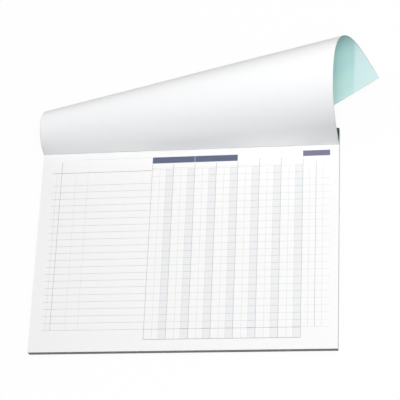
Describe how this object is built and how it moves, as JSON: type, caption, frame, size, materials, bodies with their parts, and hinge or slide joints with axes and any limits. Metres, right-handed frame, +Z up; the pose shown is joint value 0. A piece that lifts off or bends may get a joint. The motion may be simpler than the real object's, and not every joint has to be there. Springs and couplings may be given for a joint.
{
  "type": "carbonless cash book",
  "caption": "Landscape top-bound pad of two-part carbonless sheets with ruled cash columns, a cloth-taped spine, a backing board and a card cover turned back in a curl.",
  "frame": {"origin": "middle of the pad's underside, on the backing board", "axes": "+X to the right of someone writing on the page, +Y towards the binding, +Z up out of the page"},
  "size_m": [0.3375, 0.2935, 0.0893],
  "materials": {
    "white_paper": "matte",
    "mint_paper": "matte",
    "set_paper": "matte",
    "grey_board": "matte",
    "cover_card": "satin",
    "binding_cloth": "matte",
    "padding_glue": "matte",
    "staple_wire": "satin"
  },
  "bodies": {
    "pad": {"backing_board": "grey_board", "stub_block": "white_paper", "cover_strip": "cover_card", "spine_glue": "padding_glue", "binding_tape": "binding_cloth", "staple_left": "staple_wire", "staple_right": "staple_wire", "set_03": "set_paper", "set_04": "set_paper", "set_05": "set_paper", "set_06": "set_paper", "set_07": "set_paper", "set_08": "set_paper", "set_09": "set_paper", "set_10": "set_paper", "set_11": "set_paper", "set_12": "set_paper", "set_13": "set_paper", "set_14": "set_paper", "set_15": "set_paper", "set_16": "set_paper", "set_17": "set_paper", "set_18": "set_paper", "set_19": "set_paper", "set_20": "set_paper", "set_21": "set_paper", "set_22": "set_paper", "set_23": "set_paper", "set_24": "set_paper", "set_25": "set_paper", "set_26": "set_paper", "set_27": "set_paper", "set_28": "set_paper", "set_29": "set_paper", "set_30": "set_paper", "set_31": "set_paper", "set_32": "set_paper", "set_33": "set_paper", "set_34": "set_paper", "set_35": "set_paper", "set_36": "set_paper", "set_37": "set_paper", "set_38": "set_paper", "set_39": "set_paper", "set_40": "set_paper", "set_41": "set_paper", "set_42": "set_paper", "set_43": "set_paper", "set_44": "set_paper", "set_45": "set_paper", "set_46": "set_paper", "set_47": "set_paper", "set_48": "set_paper", "set_49": "set_paper", "set_50": "set_paper"},
    "cover": {"front_cover": "cover_card"},
    "copy_02": {"copy_02": "mint_paper"},
    "original_02": {"original_02": "white_paper"},
    "copy_01": {"copy_01": "mint_paper"},
    "original_01": {"original_01": "white_paper"}
  },
  "joints": [
    {"name": "cover_swing", "type": "hinge", "parent": "pad", "child": "cover", "pos_m": [0, 0.0955, 0.0074], "axis": [-1, 0, 0], "range_deg": [-95, 0]},
    {"name": "copy_02_lift", "type": "hinge", "parent": "pad", "child": "copy_02", "pos_m": [0, 0.095, 0.00698], "axis": [-1, 0, 0], "range_deg": [0, 10]},
    {"name": "original_02_lift", "type": "hinge", "parent": "copy_02", "child": "original_02", "pos_m": [0, 0.095, 0.00704], "axis": [-1, 0, 0], "range_deg": [0, 15]},
    {"name": "copy_01_lift", "type": "hinge", "parent": "original_02", "child": "copy_01", "pos_m": [0, 0.095, 0.00711], "axis": [-1, 0, 0], "range_deg": [0, 20]},
    {"name": "original_01_lift", "type": "hinge", "parent": "copy_01", "child": "original_01", "pos_m": [0, 0.095, 0.00717], "axis": [-1, 0, 0], "range_deg": [0, 50]}
  ]
}
